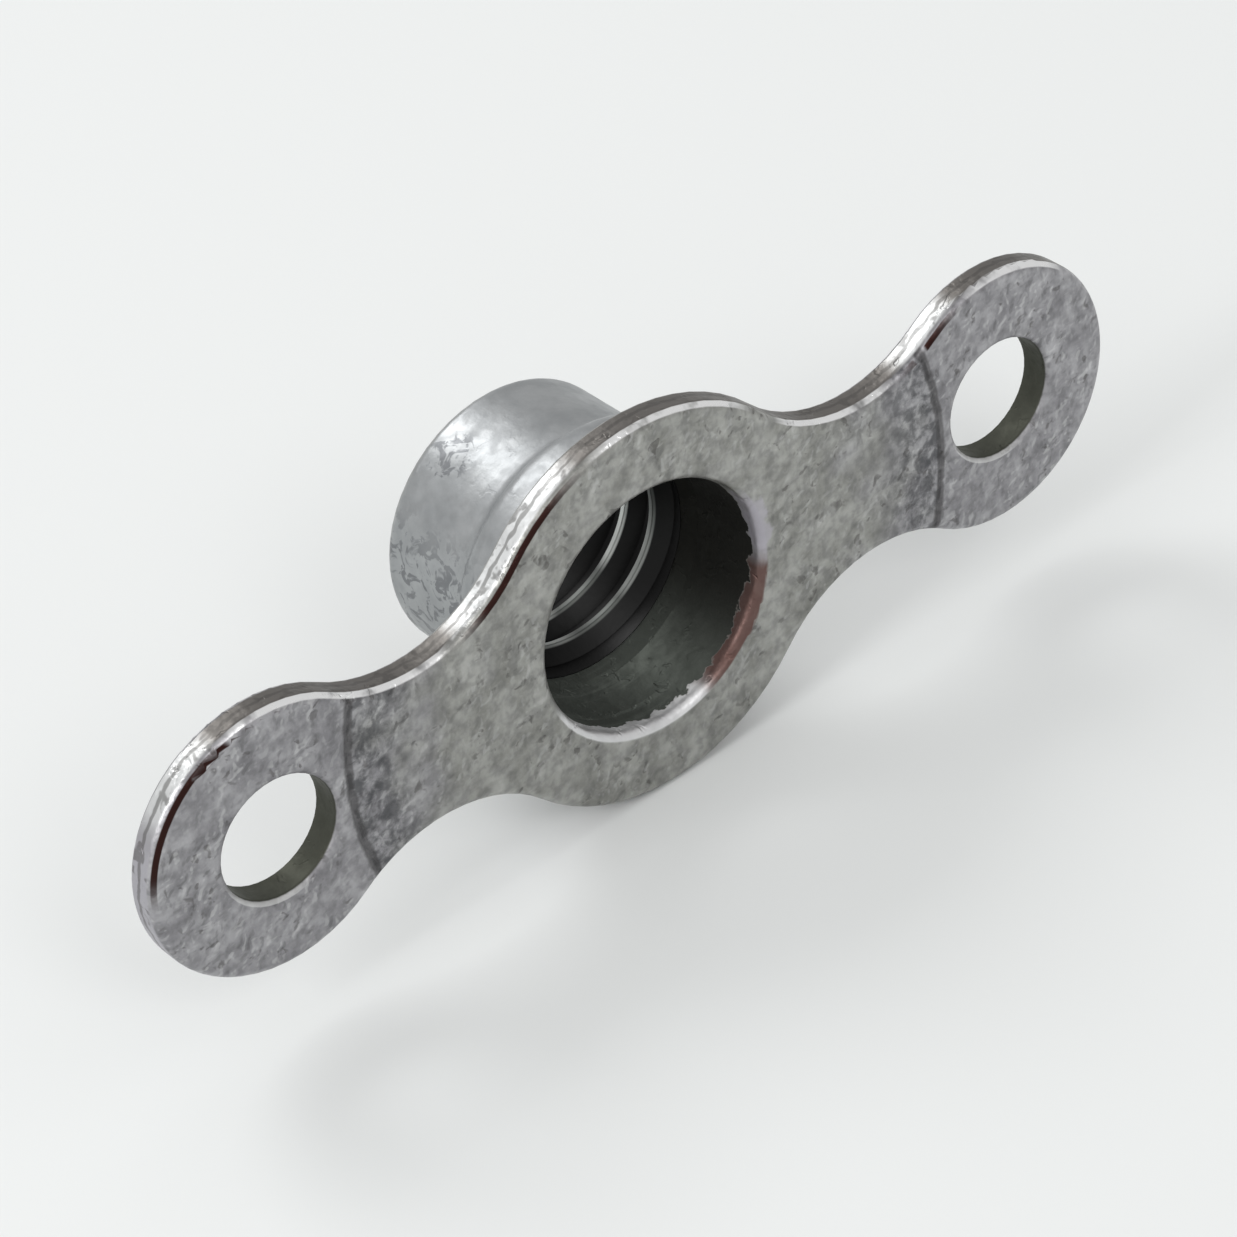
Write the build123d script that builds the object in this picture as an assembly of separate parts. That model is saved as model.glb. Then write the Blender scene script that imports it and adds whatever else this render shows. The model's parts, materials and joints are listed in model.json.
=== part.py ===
from build123d import *
import math
import os

# Sizes in mm. X runs through both rivet holes. The mounting face lies in the
# plane Y = 0 and faces -Y, and the threaded barrel stands out towards +Y.
# The origin is on the thread's axis, midway between the rivet holes.

# Overall
RIVET_SPACING = 17.48
HEIGHT = 4.65
PLATE_T = 0.64

# Rivet holes, and the metal left around them
RIVET_R = 1.25
EAR_RIM = 1.55
NECK_R = 3.10

# Bore, from the mounting face inwards
THREAD_ROOT_R = 2.40
COUNTERBORE_STEP = 0.16
COUNTERBORE_DEPTH = 1.80
LEAD_IN = 0.35

# Walls around the bore
BARREL_WALL = 0.36
COLLAR_WALL = 0.61
COLLAR_SET_BACK = 0.10
COLLAR_BLEND = 0.80
FLANGE_RIM = 0.94

# Rounded edges
FRONT_EDGE_R = 0.20
BACK_EDGE_R = 0.12
MOUTH_EDGE_R = 0.22
RIVET_EDGE_R = 0.12
ROOT_R = 0.25
END_EDGE_R = 0.28

# Shallow forming mark across each neck, as an arc about the thread's axis
MARK_CLEARANCE = 0.34
MARK_WIDTH = 0.14
MARK_DEPTH = 0.02

# Worked out from the sizes above
EAR_X = RIVET_SPACING / 2
EAR_R = RIVET_R + EAR_RIM
COUNTERBORE_R = THREAD_ROOT_R + COUNTERBORE_STEP
BARREL_R = THREAD_ROOT_R + BARREL_WALL
COLLAR_R = COUNTERBORE_R + COLLAR_WALL
COLLAR_END = COUNTERBORE_DEPTH - COLLAR_SET_BACK
FLANGE_R = COLLAR_R + FLANGE_RIM
MARK_R = EAR_X - RIVET_R - MARK_CLEARANCE
MARGIN = 1.0

# The nut is drawn with its depth along this plane's normal, which is +Y.
MOUNTING_FACE = Plane(origin=(0, 0, 0), x_dir=(1, 0, 0), z_dir=(0, 1, 0))


def neck_centre():
    """Centre of the arc that touches the flange circle and an ear circle."""
    to_flange = FLANGE_R + NECK_R
    to_ear = EAR_R + NECK_R
    x = (to_flange**2 - to_ear**2 + EAR_X**2) / (2 * EAR_X)
    return Vector(x, math.sqrt(to_flange**2 - x**2))


def plate_outline():
    """Round flange and two round ears, joined by hollow necks."""
    centre = neck_centre()
    ear = Vector(EAR_X, 0)
    at_flange = centre.normalized() * FLANGE_R
    at_ear = ear + (centre - ear).normalized() * EAR_R
    waist = centre - Vector(0, NECK_R)
    with BuildSketch() as outline:
        with BuildLine():
            flange = ThreePointArc((-at_flange.X, at_flange.Y), (0, FLANGE_R), at_flange)
            right_neck = ThreePointArc(flange @ 1, waist, at_ear)
            right_ear = ThreePointArc(at_ear, (EAR_X + EAR_R, 0), (at_ear.X, -at_ear.Y))
            left_neck = mirror(right_neck, about=Plane.YZ)
            left_ear = mirror(right_ear, about=Plane.YZ)
            mirror(flange, about=Plane.XZ)
            mirror(right_neck, about=Plane.XZ)
            mirror(left_neck, about=Plane.XZ)
        make_face()
    return outline.sketch


def plate():
    """Flat plate with softened front and back edges."""
    body = extrude(plate_outline(), PLATE_T)
    body = fillet(body.faces().sort_by(Axis.Z)[0].edges(), FRONT_EDGE_R)
    return fillet(body.faces().sort_by(Axis.Z)[-1].edges(), BACK_EDGE_R)


def barrel():
    """Collar around the counterbore, narrowing to the threaded barrel."""
    end_edge = min(END_EDGE_R, 0.8 * BARREL_WALL)
    blend_middle = ((COLLAR_R + BARREL_R) / 2, COLLAR_END + COLLAR_BLEND / 2)
    barrel_start = (BARREL_R, COLLAR_END + COLLAR_BLEND)
    with BuildSketch(Plane.XZ) as profile:
        with BuildLine():
            Line((0, PLATE_T / 2), (COLLAR_R + ROOT_R, PLATE_T / 2))
            Line((COLLAR_R + ROOT_R, PLATE_T / 2), (COLLAR_R + ROOT_R, PLATE_T))
            TangentArc((COLLAR_R + ROOT_R, PLATE_T), (COLLAR_R, PLATE_T + ROOT_R), tangent=(-1, 0))
            Line((COLLAR_R, PLATE_T + ROOT_R), (COLLAR_R, COLLAR_END))
            upper = TangentArc((COLLAR_R, COLLAR_END), blend_middle, tangent=(0, 1))
            TangentArc(blend_middle, barrel_start, tangent=upper % 1)
            Line(barrel_start, (BARREL_R, HEIGHT - end_edge))
            TangentArc((BARREL_R, HEIGHT - end_edge), (BARREL_R - end_edge, HEIGHT), tangent=(0, 1))
            Line((BARREL_R - end_edge, HEIGHT), (0, HEIGHT))
            Line((0, HEIGHT), (0, PLATE_T / 2))
        make_face()
    return revolve(profile.sketch, Axis.Z)


def bore_cutter():
    """Counterbore, lead-in cone and plain bore at the thread's root."""
    thread_start = COUNTERBORE_DEPTH + LEAD_IN
    with BuildSketch(Plane.XZ) as profile:
        Polygon(
            (0, -MARGIN),
            (COUNTERBORE_R, -MARGIN),
            (COUNTERBORE_R, COUNTERBORE_DEPTH),
            (THREAD_ROOT_R, thread_start),
            (THREAD_ROOT_R, HEIGHT + MARGIN),
            (0, HEIGHT + MARGIN),
            align=None,
        )
    return revolve(profile.sketch, Axis.Z)


def rivet_cutters():
    """Two straight holes, one through each ear."""
    hole = Cylinder(RIVET_R, PLATE_T + 2 * MARGIN)
    return [Pos(side * EAR_X, 0, PLATE_T / 2) * hole for side in (-1, 1)]


def mark_cutter():
    """Ring whose lowest part presses a shallow arc into each neck."""
    tube_r = ((MARK_WIDTH / 2) ** 2 + MARK_DEPTH**2) / (2 * MARK_DEPTH)
    return Pos(0, 0, MARK_DEPTH - tube_r) * Torus(MARK_R, tube_r)


def round_rim(body, radius, edge_radius):
    """Round the front rims of the holes that have this radius."""
    front = body.edges().filter_by_position(Axis.Z, -0.001, 0.001)
    circles = front.filter_by(GeomType.CIRCLE)
    rims = [edge for edge in circles if abs(edge.radius - radius) < 0.001]
    return fillet(rims, edge_radius)


def anchor_nut():
    """The whole nut, drawn with its mounting face at Z = 0 and depth along +Z."""
    body = plate() + barrel()
    body -= bore_cutter()
    for cutter in rivet_cutters():
        body -= cutter
    body = round_rim(body, COUNTERBORE_R, MOUTH_EDGE_R)
    body = round_rim(body, RIVET_R, RIVET_EDGE_R)
    body -= mark_cutter()
    return MOUNTING_FACE * body


os.makedirs("parts", exist_ok=True)
nut = anchor_nut()
nut.label = "anchor_nut"
export_step(nut, "parts/anchor_nut.step")
print("anchor_nut", round(nut.volume, 3), "mm3", nut.bounding_box().size)
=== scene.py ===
"""Worn steel anchor nut on a pale floor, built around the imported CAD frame.

Lengths in the materials are in millimetres, and everything else is in metres.
"""
import json
import math

import bpy
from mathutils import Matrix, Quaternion, Vector


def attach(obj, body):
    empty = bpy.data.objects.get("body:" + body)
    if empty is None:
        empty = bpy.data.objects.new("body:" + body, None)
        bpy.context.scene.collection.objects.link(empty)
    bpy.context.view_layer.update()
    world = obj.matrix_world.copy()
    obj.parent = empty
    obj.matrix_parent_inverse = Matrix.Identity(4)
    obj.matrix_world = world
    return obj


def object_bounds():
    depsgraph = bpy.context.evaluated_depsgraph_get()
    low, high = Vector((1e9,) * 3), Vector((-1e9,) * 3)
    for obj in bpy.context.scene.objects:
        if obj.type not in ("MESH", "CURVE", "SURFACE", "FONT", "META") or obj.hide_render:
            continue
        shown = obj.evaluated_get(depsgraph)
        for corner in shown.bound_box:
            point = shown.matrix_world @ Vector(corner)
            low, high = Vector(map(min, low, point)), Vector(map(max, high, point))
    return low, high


MM = 0.001

# Camera: where it aims, and its place around that point
AIM = Vector((-0.89, 0.0, 0.31)) * MM
CAMERA_AZIMUTH = -35.50
CAMERA_ELEVATION = 37.73
CAMERA_ROLL = -7.81
CAMERA_DISTANCE = 88.37 * MM
SENSOR = 36.0
LENS = 140.88

# From a rivet hole's edge to the forming mark on the neck, in mm
MARK_GAP = 0.34

# The necks' stain fades in between these distances from the thread's axis, in mm
STAIN_START = 5.3
STAIN_FULL = 6.7

# Middle of the dark scribble on the barrel, and how far apart the painted shade and painted highlight of each
# dent lie, in mm
SCRIBBLE = (-1.40, 3.90, 2.41)
DENT_SHADING_SHIFT = (0.05, 0.0, -0.04)

# Metal colours
OLIVE = (0.375, 0.375, 0.34, 1)
VIOLET = (0.36, 0.35, 0.375, 1)
PALE = (0.72, 0.72, 0.72, 1)

# Thread cut into the inside of the barrel, all in mm
PITCH = 0.794
CREST_R = 2.07
CREST_FLAT = 0.10
ROOT_FLAT = 0.14
CREST_DEPTH = 2.72
CREST_ANGLE = 141.7
START_TAPER = 0.25
EXIT_R = 2.28
EXIT_LENGTH = 0.30
SLEEVE_OVERLAP = 0.02
ROOT_STANDS_IN = 0.01
END_GAP = 0.004
TURN_STEPS = 150
DEPTH_STEPS = 300

# Floor and light
FLOOR_SIZE = 3.0
FLOOR_COLOUR = (0.76, 0.775, 0.77)
WORLD_COLOUR = (1.0, 1.0, 1.0)
WORLD_STRENGTH = 0.67

# Lights: direction from the nut, distance and size in metres, and power in watts
LIGHTS = {
    "back": ((-0.06, 0.85, 0.80), 0.32, 0.14, 0.27),
    "side": ((-0.90, -0.08, 0.57), 0.32, 0.12, 0.40),
    "front": ((-0.10, -0.74, 0.66), 0.35, 0.12, 0.17),
}


def mount(name):
    """The record's mount of this name."""
    return next(m for m in RECORD["mounts"] if m["name"] == name)


# ---------------------------------------------------------------- shader help

class Shader:
    """Builds a material's nodes with short calls that return sockets."""

    def __init__(self, name):
        self.material = bpy.data.materials.new(name)
        self.material.use_nodes = True
        self.nodes = self.material.node_tree.nodes
        self.links = self.material.node_tree.links
        self.surface = self.nodes["Principled BSDF"]

    def add(self, kind, inputs=(), **settings):
        node = self.nodes.new(kind)
        for key, value in settings.items():
            setattr(node, key, value)
        for key, value in dict(inputs).items():
            self.plug(node, key, value)
        return node

    def plug(self, node, key, value):
        if isinstance(value, bpy.types.NodeSocket):
            self.links.new(value, node.inputs[key])
        else:
            node.inputs[key].default_value = value

    def maths(self, operation, a, b=0.0, clamp=False):
        return self.add("ShaderNodeMath", {0: a, 1: b}, operation=operation, use_clamp=clamp).outputs[0]

    def squared(self, value):
        return self.maths("MULTIPLY", value, value)

    def both(self, a, b, share=1.0):
        """Product of two masks, and of a plain share if one is given."""
        product = self.maths("MULTIPLY", a, b)
        return product if share == 1.0 else self.maths("MULTIPLY", product, share)

    def step(self, value, low, high):
        """0 below low and 1 above high, or the other way round if low is the larger."""
        inputs = {"Value": value, "From Min": low, "From Max": high}
        return self.add("ShaderNodeMapRange", inputs, interpolation_type="SMOOTHSTEP").outputs[0]

    def noise(self, place, scale, detail=3.0, roughness=0.55, distortion=0.0):
        inputs = {"Vector": place, "Scale": scale, "Detail": detail,
                  "Roughness": roughness, "Distortion": distortion}
        return self.add("ShaderNodeTexNoise", inputs).outputs[0]

    def blend(self, share, a, b, mode="MIX"):
        node = self.add("ShaderNodeMix", data_type="RGBA", blend_type=mode)
        self.plug(node, 0, share)
        self.plug(node, 6, a)
        self.plug(node, 7, b)
        return node.outputs[2]

    def stretched(self, place, factors):
        return self.add("ShaderNodeVectorMath", {0: place, 1: factors}, operation="MULTIPLY").outputs[0]

    def relief(self, height):
        """Bumps the surface by a height in millimetres."""
        bump = self.add("ShaderNodeBump", {"Height": height, "Distance": MM, "Strength": 1.0})
        self.plug(self.surface, "Normal", bump.outputs[0])


class Place:
    """Sockets that say where on the nut a point is, in millimetres, and which way it faces."""

    def __init__(self, shader):
        coords = shader.add("ShaderNodeTexCoord")
        scaled = {0: coords.outputs["Object"], "Scale": 1 / MM}
        self.point = shader.add("ShaderNodeVectorMath", scaled, operation="SCALE").outputs[0]
        self.x, self.depth, self.z = shader.add("ShaderNodeSeparateXYZ", {0: self.point}).outputs
        normal = shader.add("ShaderNodeSeparateXYZ", {0: coords.outputs["Normal"]}).outputs
        self.to_left = shader.maths("MULTIPLY", normal[0], -1.0)
        self.to_front = shader.maths("MULTIPLY", normal[1], -1.0)
        self.to_top = normal[2]
        self.radius = self.from_axis(shader, 0.0)

    def from_axis(self, shader, x):
        """Distance from a line along the depth, x to the side of the thread's axis."""
        across = shader.maths("SUBTRACT", self.x, x)
        squares = shader.maths("ADD", shader.squared(across), shader.squared(self.z))
        return shader.maths("SQRT", squares)

    def facing(self, shader, degrees, spread, soft=6.0):
        """1 where an edge or wall faces within a spread of a direction, which is
        in degrees from straight up towards the left as seen from the front."""
        angle = math.radians(degrees)
        across = shader.maths("ADD", shader.squared(self.to_left), shader.squared(self.to_top))
        across = shader.maths("SQRT", shader.maths("ADD", across, 1e-6))
        along = shader.maths("ADD", shader.maths("MULTIPLY", self.to_left, math.sin(angle)),
                             shader.maths("MULTIPLY", self.to_top, math.cos(angle)))
        cosine = shader.maths("DIVIDE", along, across)
        inner, outer = math.radians(spread - soft), math.radians(spread + soft)
        return shader.step(cosine, math.cos(outer), math.cos(inner))


class Zones:
    """Masks of the nut's regions, 1 inside and 0 outside."""

    def __init__(self, s, at):
        hole_distance = s.maths("MINIMUM", *[at.from_axis(s, side * RIVET_X) for side in (-1, 1)])
        self.ear_hole = s.step(hole_distance, RIVET_R + 0.10, RIVET_R + 0.03)
        self.near_ear_hole = s.step(hole_distance, RIVET_R + 0.32, RIVET_R + 0.22)
        self.near_mouth = s.step(at.radius, COUNTERBORE_R + 0.45, COUNTERBORE_R + 0.35)
        shallow = s.step(at.depth, 0.35, 0.25)
        away = s.step(s.maths("MAXIMUM", self.near_ear_hole, self.near_mouth), 1.0, 0.5)
        self.shallow = shallow
        self.outline = s.both(away, shallow)

        outside_bore = s.step(at.radius, COUNTERBORE_R + 0.1, COUNTERBORE_R + 0.2)
        self.barrel = s.both(s.step(at.depth, 0.75, 0.95), outside_bore)
        self.plate = s.step(self.barrel, 1.3, 0.0)
        inside_bore = s.step(at.radius, COUNTERBORE_R + 0.14, COUNTERBORE_R + 0.04)
        self.bore = s.both(s.both(inside_bore, s.step(at.depth, 0.08, 0.25)), s.step(at.to_front, -0.7, -0.4))

        sideways = s.step(s.maths("ABSOLUTE", at.to_front), 0.45, 0.2)
        self.wall = s.both(sideways, s.step(at.radius, FLANGE_R - 0.3, FLANGE_R - 0.2))
        self.wall = s.both(self.wall, s.step(self.near_ear_hole, 0.6, 0.4))

        self.outer_neck = s.step(at.radius, STAIN_START, STAIN_FULL)
        ragged = s.maths("ADD", at.radius, s.maths("MULTIPLY", s.noise(at.point, 3.0, 3.0), 0.16))
        self.from_mark = s.maths("ABSOLUTE", s.maths("SUBTRACT", ragged, MARK_R + 0.08))
        patches = s.step(s.noise(at.point, 0.9, 2.0), 0.40, 0.58)
        self.patches = s.both(patches, self.plate)


def steel(name):
    """Dull steel with wear: soft grey mottles and stains, polish on its rims, and painted highlights, shade
    and reflections on its edges, walls, dents and holes.
    """
    s = Shader(name)
    at = Place(s)
    zones = Zones(s, at)
    mottle = s.step(s.noise(at.point, 3.8, 2.0, 0.5, 0.2), 0.38, 0.68)
    pits = s.both(s.step(s.noise(at.point, 3.6, 2.0, 0.5, 0.5), 0.60, 0.68), zones.patches)
    polish_and_highlight = rim_polish_and_highlight(s, at, zones)

    colour = flat_colour(s, at, zones, mottle, pits)
    colour = painted_dent_shading(s, at, zones, colour)
    colour = barrel_colour(s, at, zones, colour)
    colour = stain_colour(s, at, zones, colour)
    colour = wall_colour(s, at, zones, colour)
    colour = rim_light_and_shade(s, at, zones, polish_and_highlight, colour)
    colour = mouth_and_hole_colour(s, at, zones, colour)
    s.plug(s.surface, "Base Color", colour)
    s.plug(s.surface, "Metallic", 1.0)

    rough = s.maths("ADD", s.maths("MULTIPLY", s.noise(at.point, 1.1, 3.0), 0.20), 0.30)
    rough = s.maths("ADD", rough, s.maths("MULTIPLY", mottle, 0.08))
    holes = s.maths("MAXIMUM", zones.bore, zones.ear_hole)
    rough = s.maths("ADD", rough, s.maths("MULTIPLY", holes, 0.20))
    rough = s.maths("SUBTRACT", rough, s.maths("MULTIPLY", polish_and_highlight, 0.15), clamp=True)
    s.plug(s.surface, "Roughness", rough)

    waves = s.noise(at.point, 1.4, 2.0, 0.5)
    dimples = s.both(s.noise(at.point, 4.4, 2.0, 0.5, 0.15), zones.plate)
    relief = s.maths("ADD", s.maths("MULTIPLY", waves, 0.03), s.maths("MULTIPLY", dimples, -0.015))
    relief = s.maths("ADD", relief, s.maths("MULTIPLY", s.noise(at.point, 10.0, 2.0, 0.5), 0.003))
    relief = s.maths("SUBTRACT", relief, s.maths("MULTIPLY", pits, 0.010))
    s.relief(relief)
    return s.material


def flat_colour(s, at, zones, mottle, pits):
    """Violet ears and an olive middle, under soft clouds, mottles and pits."""
    spread = s.maths("ADD", at.radius, s.maths("MULTIPLY", s.noise(at.point, 0.7, 2.0), 5.0))
    colour = s.blend(s.step(spread, 7.0, 9.5), OLIVE, VIOLET)
    cloud = s.step(s.noise(at.point, 1.3, 5.0, 0.62), 0.25, 0.75)
    darker = s.blend(0.45, colour, (0.12, 0.12, 0.12, 1))
    colour = s.blend(cloud, darker, s.blend(0.35, colour, PALE))
    colour = s.blend(s.both(mottle, zones.plate, 0.36), colour, (0.13, 0.13, 0.135, 1))
    return s.blend(s.maths("MULTIPLY", pits, 0.55), colour, (0.09, 0.085, 0.08, 1))


def painted_dent_shading(s, at, zones, colour):
    """Small dents, painted shade on one side and a painted highlight on the other."""
    shifted = s.add("ShaderNodeVectorMath", {0: at.point, 1: DENT_SHADING_SHIFT}).outputs[0]
    tilt = s.maths("SUBTRACT", *[s.noise(place, 3.0, 2.0, 0.5, 0.3) for place in (at.point, shifted)])
    share = s.maths("ADD", s.maths("MULTIPLY", zones.patches, 0.20), s.maths("MULTIPLY", zones.plate, 0.05))
    share = s.maths("ADD", share, s.both(zones.plate, zones.outer_neck, 0.12))
    # Painted shade on one side of each dent, and a painted highlight on the other
    colour = s.blend(s.both(s.step(tilt, 0.03, 0.12), share), colour, (0.09, 0.09, 0.09, 1))
    return s.blend(s.both(s.step(tilt, -0.03, -0.12), share), colour, PALE)


def barrel_colour(s, at, zones, colour):
    """The barrel is bluer and smoother, with a few dark scribbles."""
    colour = s.blend(s.maths("MULTIPLY", zones.barrel, 0.6), colour, (0.36, 0.38, 0.405, 1))
    inputs = {0: at.point, 1: SCRIBBLE}
    from_spot = s.add("ShaderNodeVectorMath", inputs, operation="DISTANCE").outputs[1]
    patch = s.maths("MAXIMUM", s.step(from_spot, 0.70, 0.40), at.facing(s, 105, 40, 15))
    lines = s.step(s.noise(at.point, 2.6, 3.0, 0.6, 0.9), 0.50, 0.58)
    scribble = s.both(lines, s.both(zones.barrel, patch), 0.65)
    return s.blend(scribble, colour, (0.11, 0.115, 0.125, 1))


def stain_colour(s, at, zones, colour):
    """Stain just inside the forming mark on each neck, and the mark itself."""
    band = s.both(zones.outer_neck, s.step(at.radius, MARK_R + 0.05, MARK_R))
    blotch = s.step(s.noise(at.point, 3.2, 4.0, 0.60, 0.3), 0.38, 0.62)
    colour = s.blend(s.both(band, blotch, 0.72), colour, (0.065, 0.067, 0.072, 1))
    mark = s.both(s.step(zones.from_mark, 0.13, 0.06), s.step(at.depth, 0.15, 0.10), 0.62)
    return s.blend(mark, colour, (0.05, 0.047, 0.047, 1))


def wall_colour(s, at, zones, colour):
    """Sheared walls: painted shade where they face up, a painted highlight where they face
    the upper left, painted mid grey to the left and lower left, and dark spots, with a wavy line where the
    metal tore."""
    # Painted light on the walls: shade where they face up, a highlight to the upper left, mid grey to the
    # left and lower left
    wall_light_and_shade = s.blend(at.facing(s, 40, 17, 8), (0.17, 0.16, 0.15, 1), (0.72, 0.73, 0.73, 1))
    wall_light_and_shade = s.blend(at.facing(s, 100, 42, 12), wall_light_and_shade, (0.42, 0.41, 0.44, 1))
    colour = s.blend(zones.wall, colour, wall_light_and_shade)
    spots = s.step(s.noise(at.point, 3.2, 2.0, 0.55, 0.3), 0.55, 0.66)
    wavy = s.maths("ADD", at.depth, s.maths("MULTIPLY", s.noise(at.point, 2.0, 2.0), 0.25))
    tear = s.step(s.maths("ABSOLUTE", s.maths("SUBTRACT", wavy, 0.50)), 0.055, 0.025)
    spoilt = s.maths("MULTIPLY", s.maths("MAXIMUM", spots, tear), 0.6)
    return s.blend(s.both(zones.wall, spoilt), colour, (0.10, 0.095, 0.09, 1))


def rim_polish_and_highlight(s, at, zones):
    """Mask of the bright line on the outline's rim, where it faces up: polish from wear, and a painted
    highlight.
    """
    line = s.both(s.step(at.to_front, 0.22, 0.34), s.step(at.to_front, 0.86, 0.76))
    wear_and_light = s.step(s.noise(at.point, 1.5, 3.0), 0.30, 0.50)
    return s.both(s.both(line, zones.outline), s.both(at.facing(s, -14, 24), wear_and_light))


def rim_light_and_shade(s, at, zones, polish_and_highlight, colour):
    """Rims of the outline, with a painted highlight where they face up and a painted dark reflection to the
    upper left, and a light ring round each rivet hole, a painted highlight where its rim faces up.
    """
    # Painted highlight, over some polish, on the rims that face up
    colour = s.blend(polish_and_highlight, colour, (0.93, 0.93, 0.93, 1))
    line = s.both(s.step(at.to_front, 0.58, 0.68), s.step(at.to_front, 0.975, 0.94))
    upper_left = s.both(at.facing(s, 53, 29, 9), s.step(zones.from_mark, 0.13, 0.20))
    # Painted dark reflection on the rims that face the upper left
    colour = s.blend(s.both(s.both(line, zones.outline), upper_left), colour, (0.035, 0.016, 0.014, 1))
    # Painted highlight on the upward-facing rim of each rivet hole
    ring = s.both(s.step(at.to_front, 0.30, 0.45), s.step(at.to_front, 0.985, 0.95))
    ring = s.both(s.both(ring, zones.near_ear_hole), at.facing(s, -28, 38, 15), 0.6)
    return s.blend(ring, colour, (0.75, 0.75, 0.74, 1))


def mouth_and_hole_colour(s, at, zones, colour):
    """The mouth's rim has a painted highlight below, is brown on the right and burred above
    that. The holes' walls and the bore are darkened with painted shade, and the bore shows a few turning
    lines, painted lighter at its lower left as highlights."""
    jagged = s.maths("ADD", at.depth, s.maths("MULTIPLY", s.noise(at.point, 2.5, 3.0), 0.70))
    lip = s.both(s.both(zones.near_mouth, s.step(at.to_front, 0.985, 0.93)), s.step(jagged, 0.72, 0.64))
    shine = s.blend(s.noise(at.point, 1.8, 3.0), (0.55, 0.55, 0.56, 1), (1.0, 1.0, 1.0, 1))
    # Painted highlight on the lower part of the mouth's lip
    colour = s.blend(s.both(lip, at.facing(s, -22, 46), 0.95), colour, shine)
    colour = s.blend(s.both(lip, at.facing(s, 52, 30), 0.9), colour, (0.14, 0.075, 0.065, 1))
    colour = s.blend(s.both(lip, at.facing(s, 101, 18), 0.8), colour, (0.45, 0.43, 0.47, 1))

    across = s.maths("SUBTRACT", at.x, COUNTERBORE_R + 0.05)
    along = s.maths("MULTIPLY", s.maths("SUBTRACT", at.z, 0.45), 0.30)
    burr = s.maths("SQRT", s.maths("ADD", s.squared(across), s.squared(along)))
    burr = s.maths("ADD", burr, s.maths("MULTIPLY", s.noise(at.point, 2.5, 3.0), 0.6))
    colour = s.blend(s.both(s.step(burr, 0.54, 0.44), zones.shallow, 0.7), colour, (0.50, 0.48, 0.53, 1))

    # Painted shade on the rivet holes' walls
    ear_wall = s.both(zones.ear_hole, s.step(at.to_front, 0.6, 0.3))
    colour = s.blend(ear_wall, colour, (0.085, 0.088, 0.072, 1))
    # Painted shade in the bore: nearly black towards the upper right, dim greenish grey towards the lower
    # left
    below = s.step(s.maths("ADD", at.z, s.maths("MULTIPLY", at.x, 0.6)), 0.5, -2.2)
    bore_shade_and_lines = s.blend(below, (0.038, 0.038, 0.034, 1), (0.125, 0.137, 0.122, 1))
    # Turning lines, painted lighter only at the lower left as faint highlights
    turned = s.step(s.noise(s.stretched(at.point, (0.3, 5.0, 0.3)), 1.0, 2.0), 0.50, 0.62)
    turned = s.both(turned, s.step(s.maths("ADD", at.x, at.z), -1.6, -2.8), 0.45)
    bore_shade_and_lines = s.blend(turned, bore_shade_and_lines, (0.22, 0.24, 0.215, 1))
    return s.blend(s.both(zones.bore, s.step(lip, 0.6, 0.2)), colour, bore_shade_and_lines)


def thread_steel(name):
    """Steel in the thread: grey crests, lighter in patches and painted darker towards the mouth as shade, and
    grooves painted nearly black as shade.
    """
    s = Shader(name)
    at = Place(s)
    crest = s.step(at.radius, CREST_R + 0.06, CREST_R + 0.03)
    wear_and_light = s.step(s.noise(at.point, 0.7, 1.0), 0.35, 0.6)
    # Painted shade: the crests darken towards the mouth
    wear_and_light = s.both(wear_and_light, s.step(at.depth, CREST_DEPTH - 0.6, CREST_DEPTH + 0.5))
    crest_colour = s.blend(wear_and_light, (0.10, 0.105, 0.10, 1), (0.55, 0.57, 0.55, 1))
    # Painted shade: the grooves are nearly black
    s.plug(s.surface, "Base Color", s.blend(crest, (0.022, 0.022, 0.022, 1), crest_colour))
    s.plug(s.surface, "Metallic", 1.0)
    s.plug(s.surface, "Roughness", 0.42)
    s.relief(s.maths("MULTIPLY", s.noise(at.point, 8.0, 2.0), 0.004))
    return s.material


def pale_floor(name):
    """Plain matt paper white."""
    s = Shader(name)
    s.plug(s.surface, "Base Color", (*FLOOR_COLOUR, 1))
    s.plug(s.surface, "Roughness", 0.9)
    return s.material


# ---------------------------------------------------------------- pieces

def ridge_share(offset):
    """How high the thread stands, 1 on a crest and 0 at a root, at a distance
    along the axis from a crest's middle."""
    flank = (PITCH - CREST_FLAT - ROOT_FLAT) / 2
    return 1 - min(max((abs(offset) - CREST_FLAT / 2) / flank, 0.0), 1.0)


def bore_radius(turn, depth, end):
    """Radius of the threaded surface at a place round the axis, in turns from
    where the thread starts, and a depth. The first turn rises from nothing."""
    first_crest = CREST_DEPTH + PITCH * (turn - 0.5)
    count = max(round((depth - first_crest) / PITCH), 0)
    ridge = ridge_share(depth - first_crest - count * PITCH)
    if count == 0:
        ridge *= min(turn / START_TAPER, 1.0)
    root_r = THREAD_R - ROOT_STANDS_IN
    radius = root_r - (root_r - CREST_R) * ridge
    run_out = EXIT_R - (end - depth) / EXIT_LENGTH * (EXIT_R - CREST_R)
    return max(radius, run_out)


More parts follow.
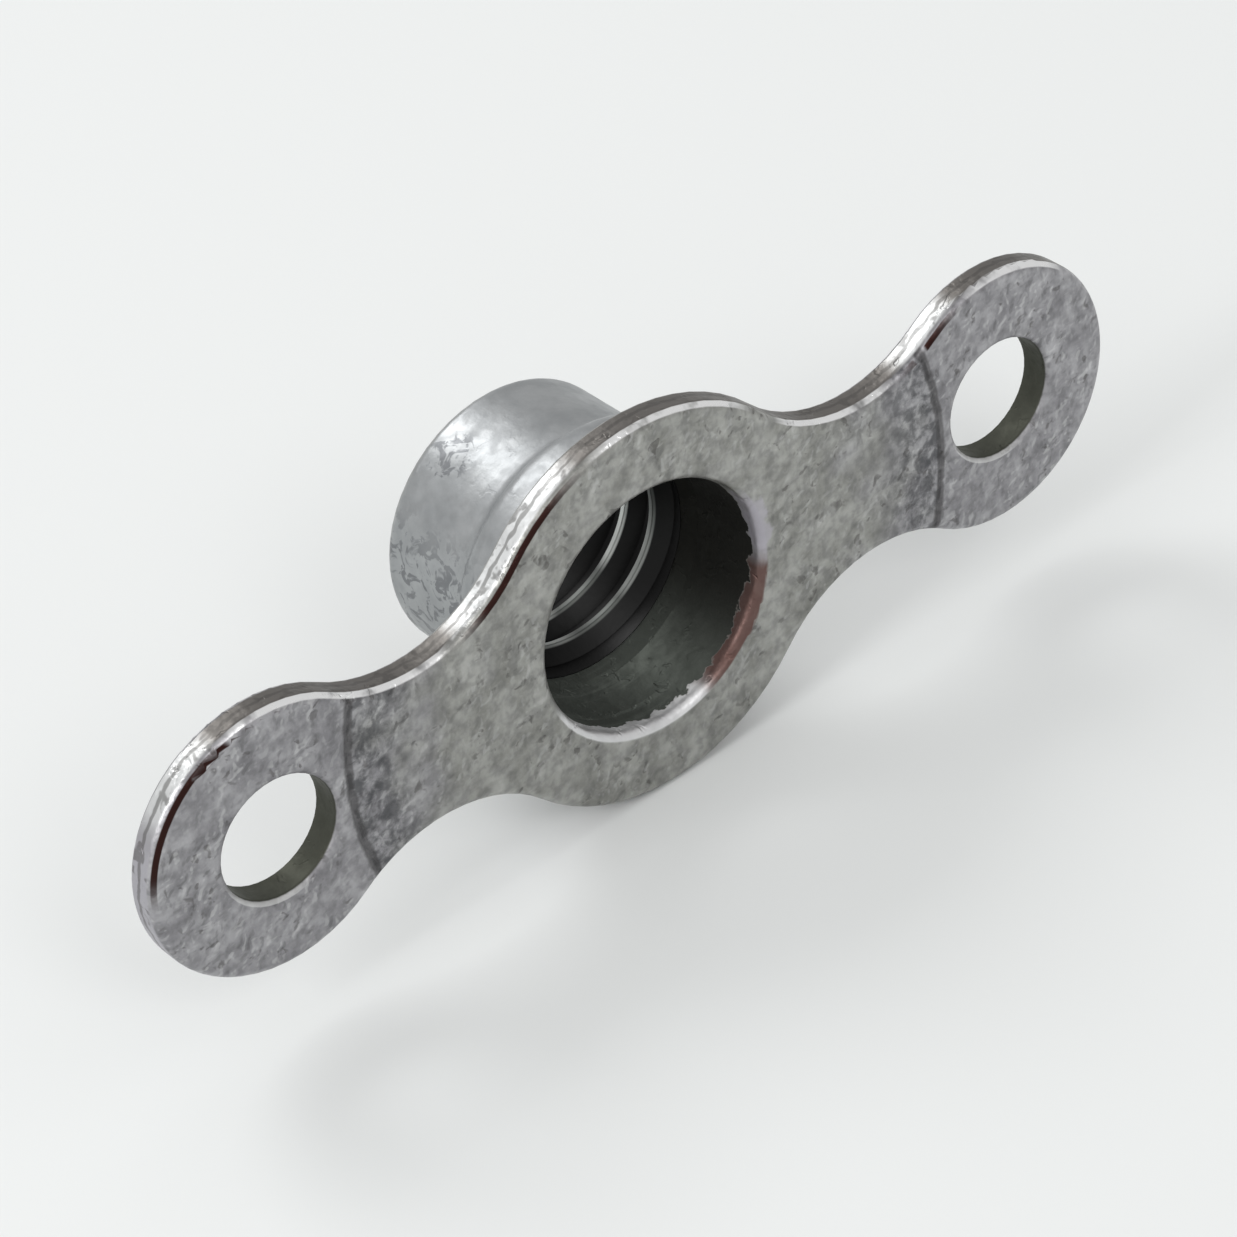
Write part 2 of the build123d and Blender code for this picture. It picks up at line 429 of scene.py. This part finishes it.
def thread_sleeve():
    """The thread's crests, as a closed sleeve whose outside is sunk in the wall."""
    top = THREAD_START - SLEEVE_OVERLAP
    end = BARREL_END - END_GAP
    vertices = []
    for i in range(DEPTH_STEPS + 1):
        depth = top + (end - top) * i / DEPTH_STEPS
        for j in range(TURN_STEPS):
            turn = j / TURN_STEPS
            angle = 2 * math.pi * (turn - 0.5) + math.radians(CREST_ANGLE)
            for radius in (bore_radius(turn, depth, end), THREAD_R + SLEEVE_OVERLAP):
                vertices.append((radius * math.sin(angle) * MM, depth * MM, radius * math.cos(angle) * MM))
    faces = []
    for j in range(TURN_STEPS):
        k = (j + 1) % TURN_STEPS
        for i in range(DEPTH_STEPS):
            a, b = 2 * (i * TURN_STEPS + j), 2 * (i * TURN_STEPS + k)
            c, d = a + 2 * TURN_STEPS, b + 2 * TURN_STEPS
            faces.append((a, b, d, c))
            faces.append((a + 1, c + 1, d + 1, b + 1))
        a, b = 2 * j, 2 * k
        faces.append((a, a + 1, b + 1, b))
        a, b = 2 * (DEPTH_STEPS * TURN_STEPS + j), 2 * (DEPTH_STEPS * TURN_STEPS + k)
        faces.append((a, b, b + 1, a + 1))
    mesh = bpy.data.meshes.new("thread")
    mesh.from_pydata(vertices, [], faces)
    mesh.validate()
    mesh.shade_smooth()
    mesh.set_sharp_from_angle(angle=math.radians(35))
    piece = bpy.data.objects.new("thread", mesh)
    bpy.context.collection.objects.link(piece)
    return piece


# ---------------------------------------------------------------- setting

def make_floor(height):
    mesh = bpy.data.meshes.new("floor")
    half = FLOOR_SIZE / 2
    corners = [(-half, -half, height), (half, -half, height), (half, half, height), (-half, half, height)]
    mesh.from_pydata(corners, [], [(0, 1, 2, 3)])
    floor = bpy.data.objects.new("floor", mesh)
    bpy.context.collection.objects.link(floor)
    mesh.materials.append(pale_floor("paper"))


def soft_light(name, direction, distance, size, power):
    """Square area light that shines at the nut from a direction."""
    lamp = bpy.data.lights.new(name, "AREA")
    lamp.shape = "SQUARE"
    lamp.size = size
    lamp.energy = power
    light = bpy.data.objects.new(name, lamp)
    towards = Vector(direction).normalized()
    light.location = towards * distance
    light.rotation_mode = "QUATERNION"
    light.rotation_quaternion = towards.to_track_quat("Z", "Y")
    bpy.context.collection.objects.link(light)


def make_world():
    world = bpy.data.worlds.new("studio")
    bpy.context.scene.world = world
    world.use_nodes = True
    background = world.node_tree.nodes["Background"]
    background.inputs["Color"].default_value = (*WORLD_COLOUR, 1)
    background.inputs["Strength"].default_value = WORLD_STRENGTH


def make_camera():
    azimuth, elevation = math.radians(CAMERA_AZIMUTH), math.radians(CAMERA_ELEVATION)
    back = Vector((
        math.sin(azimuth) * math.cos(elevation),
        -math.cos(azimuth) * math.cos(elevation),
        math.sin(elevation),
    ))
    data = bpy.data.cameras.new("camera")
    data.sensor_width = SENSOR
    data.lens = LENS
    data.clip_start = CAMERA_DISTANCE / 20
    data.clip_end = FLOOR_SIZE * 2
    camera = bpy.data.objects.new("camera", data)
    camera.location = AIM + back * CAMERA_DISTANCE
    camera.rotation_mode = "QUATERNION"
    roll = Quaternion((0, 0, 1), math.radians(CAMERA_ROLL))
    camera.rotation_quaternion = (-back).to_track_quat("-Z", "Y") @ roll
    bpy.context.collection.objects.link(camera)
    bpy.context.scene.camera = camera


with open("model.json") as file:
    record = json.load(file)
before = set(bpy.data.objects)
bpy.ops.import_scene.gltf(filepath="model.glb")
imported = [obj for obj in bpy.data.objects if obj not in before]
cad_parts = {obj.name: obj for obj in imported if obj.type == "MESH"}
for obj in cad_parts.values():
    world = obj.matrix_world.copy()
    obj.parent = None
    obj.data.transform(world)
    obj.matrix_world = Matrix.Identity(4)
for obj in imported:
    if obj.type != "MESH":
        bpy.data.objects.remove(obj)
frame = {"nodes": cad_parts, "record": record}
cad_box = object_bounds()
RECORD = frame["record"]
COUNTERBORE_R = mount("counterbore")["dims"]["r_mm"]
THREAD_R = mount("thread")["dims"]["r_mm"]
BARREL_END = cad_box[1].y / MM
THREAD_START = BARREL_END - mount("thread")["dims"]["length_mm"]
FLANGE_R = cad_box[1].z / MM
RIVET_R = mount("rivet_holes")["dims"]["hole_r_mm"]
RIVET_X = mount("rivet_holes")["dims"]["spacing_x_mm"] / 2
MARK_R = RIVET_X - RIVET_R - MARK_GAP

metal = steel("steel")
nut = frame["nodes"]["anchor_nut"]
nut.data.materials.clear()
nut.data.materials.append(metal)
thread = thread_sleeve()
thread.data.materials.append(thread_steel("thread_steel"))
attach(thread, "root")

make_floor(cad_box[0].z)
make_world()
for light_name, light_settings in LIGHTS.items():
    soft_light(light_name, *light_settings)
make_camera()
bpy.context.scene.view_settings.view_transform = "Standard"
